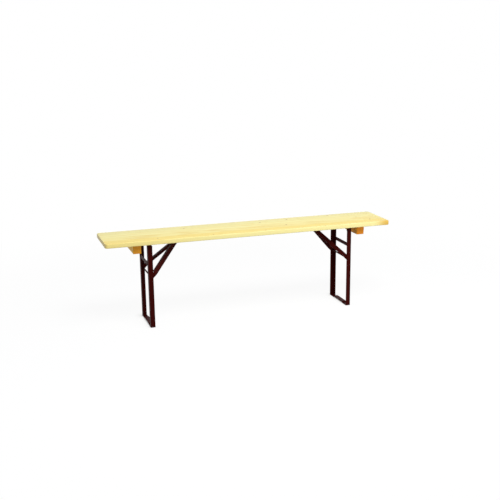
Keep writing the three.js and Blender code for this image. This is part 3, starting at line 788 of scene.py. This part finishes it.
def pressed_plate(middle_x, sizes):
    """A sheet whose lower face is pushed out by the lobes. Its points run from the plate's long
    middle line to its rounded outline, and the rim is eased by a quarter circle."""
    size_x, size_y = 2 * (latch_high[0] - middle_x), latch_high[1] - latch_low[1]
    top = latch_high[2]
    point_spacing = 0.0012
    outline = divided(rounded_rectangle(size_x, size_y, sizes.corner, steps=8), point_spacing)
    spine_reach = (size_x - size_y) / 2
    spine = np.column_stack([np.clip(outline[:, 0], -spine_reach, spine_reach),
                             np.zeros(len(outline))])
    ease = sizes.plate * 0.4
    share = np.linspace(0, 1, 30)[:, None, None]
    face = spine + (inset(outline, [ease])[0] - spine) * share
    lobes = lobe_rise(face, -sizes.inner_lobe, sizes) + lobe_rise(face, sizes.outer_lobe, sizes)
    lower = top - sizes.plate - lobes
    turn = np.linspace(0, np.pi / 2, 4)[1:]
    rim = inset(outline, ease * (1 - np.sin(turn)))
    rim_z = top - sizes.plate + ease * (1 - np.cos(turn))
    rim_heights = np.broadcast_to(rim_z[:, None], rim.shape[:2])
    upper = np.full((1, len(outline)), top)
    plan = np.concatenate([face, rim, outline[None], spine[None]])
    heights = np.concatenate([lower, rim_heights, upper, upper])
    rings = np.concatenate([plan, heights[..., None]], axis=-1)
    return moved(skin(rings, caps=False), (middle_x, 0, 0))


def cheek_outline(pocket_x, pocket_z, sizes):
    """The hook's straight sides, a quarter circle over the pocket and the guard's sloping edge."""
    radius = sizes.pocket
    plate_z = latch_high[2] - sizes.plate - pocket_z
    throat_z = sizes.hook_chamfer - sizes.hook_depth
    guard_z = radius - sizes.guard_drop
    turn = np.linspace(0, np.pi / 2, 12)
    hook = [(sizes.hook_length, plate_z), (sizes.hook_length, throat_z),
            (sizes.hook_length - sizes.hook_chamfer, -sizes.hook_depth),
            (radius + sizes.lead_in, -sizes.hook_depth), (radius, throat_z)]
    pocket = radius * np.column_stack([np.cos(turn), np.sin(turn)])
    guard = [(sizes.guard_chamfer - sizes.guard_length, guard_z),
             (-sizes.guard_length, guard_z + sizes.guard_chamfer), (-sizes.guard_length, plate_z)]
    clockwise = np.concatenate([hook, pocket, guard])
    return clockwise[::-1] + np.array([pocket_x, pocket_z])


class BENCH_OT_latches(bpy.types.Operator):
    """Makes the pressed latches and finishes their sliding bolts."""

    bl_idname = "bench.latches"
    bl_label = "Make Latches"

    def execute(self, context):
        sizes = context.scene.bench_latch
        zinc = bpy.data.materials["zinc_plated_sheet"]
        pin_low, pin_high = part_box("right_apex_pin")
        pocket_x = (pin_low[0] + pin_high[0]) / 2
        pocket_z = (pin_low[2] + pin_high[2]) / 2
        plate = pressed_plate(pocket_x, sizes)

        # The tongue's faces lie inside the plate's, so that no two share a plane
        margin = sizes.plate * 0.1
        tongue_ease = sizes.plate * 0.3
        tongue = slab(rounded_rectangle(2 * sizes.tongue, sizes.tongue_width, sizes.tongue_corner),
                      latch_high[2] - sizes.plate + margin, latch_high[2] - margin, tongue_ease)
        tongue = moved(tongue, (2 * pocket_x - latch_high[0], 0, 0))

        cheek_ease = sizes.cheek * 0.25
        cheek = along_y(slab(cheek_outline(pocket_x, pocket_z, sizes), sizes.cheek_gap,
                             sizes.cheek_gap + sizes.cheek, cheek_ease, steps=3))
        right_parts = (plate, tongue, cheek, reflected(cheek, 1, -1))
        for side, sign in SIDES.items():
            parts = [reflected(part, sign) for part in right_parts]
            new_piece(f"{side}_pressed_latch", parts, zinc, "seat", f"{side}_latch_base",
                      slot="zinc_latch")
            finish_steel(f"{side}_latch_bolt", zinc, sizes.bolt_edge)
            guide = pin_along_y(f"{side}_bolt_guide", sizes.guide, sizes.guide_head)
            new_piece(f"{side}_domed_bolt_guide", [guide], zinc, "seat", f"{side}_bolt_guide",
                      slot="zinc_latch")
        return {"FINISHED"}


# Screws

def screw_head(radius, height):
    """A pan head with a cross recess, as a height over polar points: the dome is
    H (1 - 0.55 (r / R)^4), and the recess takes 0.55 H where |x| or |y| is inside its slot."""
    share = np.concatenate([np.linspace(0, 0.9, 26), [0.95, 0.985, 1.0, 1.0]])
    turn = np.linspace(0, 2 * np.pi, 72, endpoint=False)
    across_x = radius * share[:, None] * np.cos(turn)
    across_y = radius * share[:, None] * np.sin(turn)
    dome = height * (1 - 0.55 * share ** 4)[:, None]
    slot, reach, soft = radius * 0.13, radius * 0.55, radius * 0.06
    arms = [smooth_step((slot - np.abs(first)) / soft + 0.5)
            * smooth_step((reach - np.abs(second)) / soft + 0.5)
            for first, second in ((across_x, across_y), (across_y, across_x))]
    recess = height * 0.55 * np.maximum(*arms)
    heights = dome - recess
    heights[-1] = 0
    return np.stack([across_x, across_y, -heights], axis=-1)


class BENCH_OT_screws(bpy.types.Operator):
    """Makes every screw, with a cross recess in its pan head."""

    bl_idname = "bench.screws"
    bl_label = "Make Screws"

    def execute(self, context):
        sizes = context.scene.bench_screws
        zinc = bpy.data.materials["zinc_plated_screw"]
        for node in [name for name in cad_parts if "_screw_" in name]:
            low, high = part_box(node)
            head = screw_head((high[0] - low[0]) / 2, sizes.head)
            reach = high[2] - low[2] - sizes.head
            radius = np.array([[sizes.shank], [sizes.shank], [0.0]])
            height = reach * np.array([[0.0], [0.8], [1.0]])
            turn = np.linspace(0, 2 * np.pi, head.shape[1], endpoint=False)
            shank = np.stack([radius * np.cos(turn), radius * np.sin(turn),
                              np.broadcast_to(height, (3, len(turn)))], axis=-1)
            screw = skin(np.concatenate([head, shank]), caps=False)
            middle = ((low[0] + high[0]) / 2, (low[1] + high[1]) / 2, low[2] + sizes.head)
            new_piece(f"{node}_driven", [moved(screw, middle)], zinc, "seat", node,
                      slot="zinc_screws")
        return {"FINISHED"}


# Stage

def seen_directly(tree):
    """A factor that is 1 for rays from the camera, and for those that metal mirrors or glass lets
    through, and 0 for the rays that light the bench."""
    path = add(tree, "LightPath")
    mirrored = add(tree, "Math",
                   {0: path.outputs["Is Camera Ray"], 1: path.outputs["Is Glossy Ray"]},
                   operation="MAXIMUM")
    either = add(tree, "Math",
                 {0: mirrored, 1: path.outputs["Is Transmission Ray"]}, operation="MAXIMUM")
    return either


def area_lamp(name, place, target, size, power):
    """A rectangular lamp that faces its target."""
    lamp = bpy.data.lights.new(name, "AREA")
    lamp.shape = "RECTANGLE"
    lamp.size, lamp.size_y = size
    lamp.energy = power
    holder = bpy.data.objects.new(name, lamp)
    holder.location = place
    holder.rotation_euler = (Vector(target) - Vector(place)).to_track_quat("-Z", "Y").to_euler()
    bpy.context.scene.collection.objects.link(holder)


class BENCH_OT_stage(bpy.types.Operator):
    """Makes the white floor, the studio light and the camera."""

    bl_idname = "bench.stage"
    bl_label = "Make Stage"

    def execute(self, context):
        scene = context.scene
        scene.view_settings.view_transform = "Standard"

        # White paper, shaded softly under the bench's feet
        floor_reach = 30.0
        glow_near, glow_far = 1.0, 2.4
        shade_reach = 0.05
        floor_material = bpy.data.materials.new("studio_floor")
        tree = cleared_tree(floor_material)
        seen = seen_directly(tree)
        tone = add(tree, "Mix",
                   {"Factor": seen, "A": linear("#C4C4C4"), "B": linear("#FFFFFF")},
                   data_type="RGBA")
        paper = add(tree, "BsdfDiffuse", {"Color": tone})
        glow = add(tree, "Emission", {"Color": linear("#FFFFFF")})
        place = add(tree, "TexCoord").outputs["Object"]
        distance = add(tree, "VectorMath", {0: place}, operation="LENGTH")
        whiter_far_off = add(tree, "MapRange",
                             {"Value": distance, "From Min": glow_near, "From Max": glow_far,
                              "To Min": 0.92, "To Max": 1.0}, interpolation_type="SMOOTHSTEP")
        near_feet = add(tree, "AmbientOcclusion", {"Distance": shade_reach}, samples=8)
        open_floor = add(tree, "MapRange",
                         {"Value": near_feet.outputs["AO"], "From Min": 0.35, "From Max": 0.95})
        share = add(tree, "Math", {0: whiter_far_off, 1: open_floor}, operation="MULTIPLY")
        brighter = add(tree, "Math", {0: seen, 1: share}, operation="MULTIPLY")
        mixed = add(tree, "MixShader", {0: brighter, 1: paper, 2: glow})
        add(tree, "OutputMaterial", {"Surface": mixed})
        mesh = bpy.data.meshes.new("studio_floor")
        corners = [(-floor_reach, -floor_reach, 0), (floor_reach, -floor_reach, 0),
                   (floor_reach, floor_reach, 0), (-floor_reach, floor_reach, 0)]
        mesh.from_pydata(corners, [], [(0, 1, 2, 3)])
        mesh.materials.append(floor_material)
        floor = bpy.data.objects.new("studio_floor", mesh)
        scene.collection.objects.link(floor)

        world = bpy.data.worlds.new("studio")
        tree = cleared_tree(world)
        light = add(tree, "Background", {"Color": linear("#F6F8FF"), "Strength": 0.42})
        white = add(tree, "Background", {"Color": linear("#FFFFFF")})
        mixed = add(tree, "MixShader", {0: seen_directly(tree), 1: light, 2: white})
        add(tree, "OutputWorld", {"Surface": mixed})
        scene.world = world

        area_lamp("key_lamp", place=(0.3, -2.2, 3.7), target=(0, 0, 0.3), size=(2.2, 1.6),
                  power=136)
        area_lamp("fill_lamp", place=(2.5, -2.3, 0.8), target=(0.6, 0, 0.4), size=(1.6, 1.2),
                  power=27)

        # The lens and place that were fitted to the photograph
        lens = bpy.data.cameras.new("camera")
        lens.lens = 63.48
        lens.sensor_width = 36.0
        lens.shift_x = -0.0053
        lens.shift_y = 0.0380
        camera = bpy.data.objects.new("camera", lens)
        camera.location = (-1.4501, -4.5025, 1.5255)
        camera.rotation_euler = Euler(np.radians([74.7806, 0.6209, -18.4022]), "XYZ")
        scene.collection.objects.link(camera)
        scene.camera = camera
        return {"FINISHED"}


class BENCH_PT_sidebar(bpy.types.Panel):
    """Lists the bench's sizes, colours and steps."""

    bl_label = "Folding Bench"
    bl_space_type = "VIEW_3D"
    bl_region_type = "UI"
    bl_category = "Bench"

    def draw(self, context):
        layout = self.layout
        for group in GROUPS:
            box = layout.box()
            settings = getattr(context.scene, group)
            for name in settings.__annotations__:
                box.prop(settings, name)
        for step in STEPS:
            layout.operator(step.bl_idname)


GROUPS = {
    "bench_seat": SeatSizes,
    "bench_pine": PineFigure,
    "bench_steel": SteelSizes,
    "bench_latch": LatchSizes,
    "bench_screws": ScrewSizes,
    "bench_finishes": Finishes,
}
STEPS = (
    BENCH_OT_materials,
    BENCH_OT_seat,
    BENCH_OT_leg_frames,
    BENCH_OT_braces,
    BENCH_OT_hinges,
    BENCH_OT_latches,
    BENCH_OT_screws,
    BENCH_OT_stage,
)


def register():
    for kind in (*GROUPS.values(), *STEPS, BENCH_PT_sidebar):
        bpy.utils.register_class(kind)
    for name, kind in GROUPS.items():
        setattr(bpy.types.Scene, name, PointerProperty(type=kind))


def unregister():
    for name in GROUPS:
        delattr(bpy.types.Scene, name)
    for kind in (BENCH_PT_sidebar, *reversed(STEPS), *GROUPS.values()):
        bpy.utils.unregister_class(kind)


def main():
    register()
    bpy.ops.bench.materials()
    bpy.ops.bench.seat()
    bpy.ops.bench.leg_frames()
    bpy.ops.bench.braces()
    bpy.ops.bench.hinges()
    bpy.ops.bench.latches()
    bpy.ops.bench.screws()
    bpy.ops.bench.stage()


if __name__ == "__main__":
    main()
